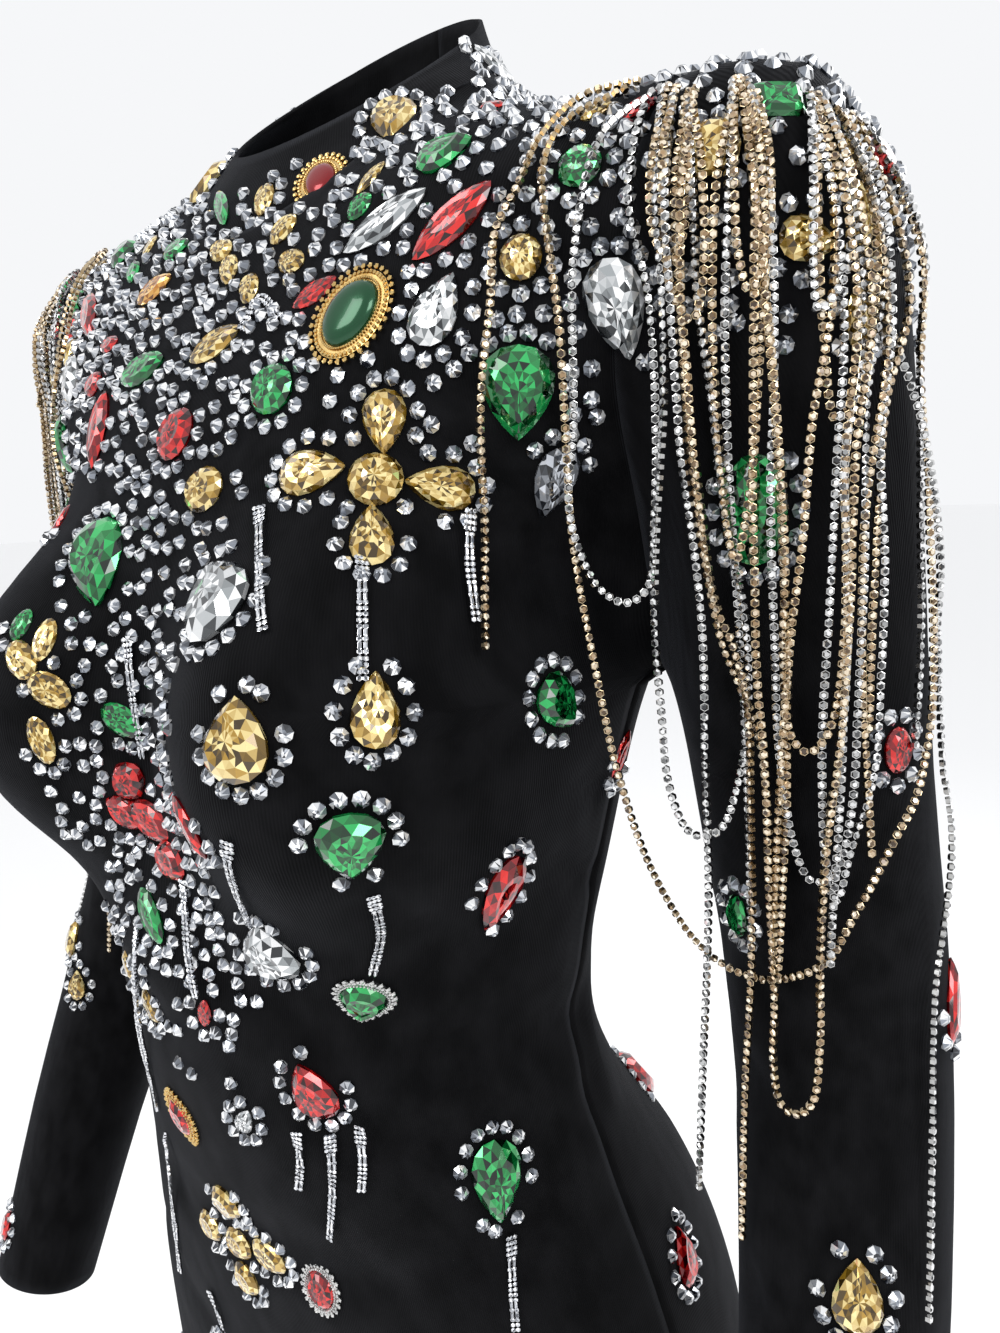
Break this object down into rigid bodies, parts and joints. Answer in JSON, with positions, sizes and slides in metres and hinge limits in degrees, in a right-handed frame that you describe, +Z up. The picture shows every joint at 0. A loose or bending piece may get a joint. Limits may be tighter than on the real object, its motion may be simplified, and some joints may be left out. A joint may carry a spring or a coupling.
{
  "type": "stage costume dress",
  "caption": "Short fitted stage dress in black velvet with long sleeves, a low stand collar, raised glass stones, chain fringe from both shoulders and a back zip.",
  "frame": {"origin": "midway between the shoulders, level with the side of the neck, where the worn dress hangs", "axes": "+Z up the body, -Y the dress's front, +X the wearer's left"},
  "size_m": [0.5572, 0.3126, 0.8778],
  "materials": {
    "velvet": "short-pile black stretch velvet with a fine upright rib, set with foil-backed glass stones",
    "collar_velvet": "the same velvet, set all over with small clear glass stones",
    "cup_chain": "bright pale gold and silver cup chain",
    "zip_coil": "black nylon coil",
    "zip_metal": "dark nickel plate"
  },
  "bodies": {
    "dress": {"front": "velvet", "back_left": "velvet", "back_right": "velvet", "sleeve_left": "velvet", "sleeve_right": "velvet", "collar": "collar_velvet", "chain_fringe_left": "cup_chain", "chain_fringe_right": "cup_chain", "zip_teeth": "zip_coil", "zip_slider": "zip_metal"},
    "zip_pull": {"zip_pull": "zip_metal"}
  },
  "joints": [
    {"name": "zip_pull_swing", "type": "hinge", "parent": "dress", "child": "zip_pull", "pos_m": [0, 0.06889, 0.02], "axis": [1, 0, 0], "range_deg": [0, 150]}
  ]
}
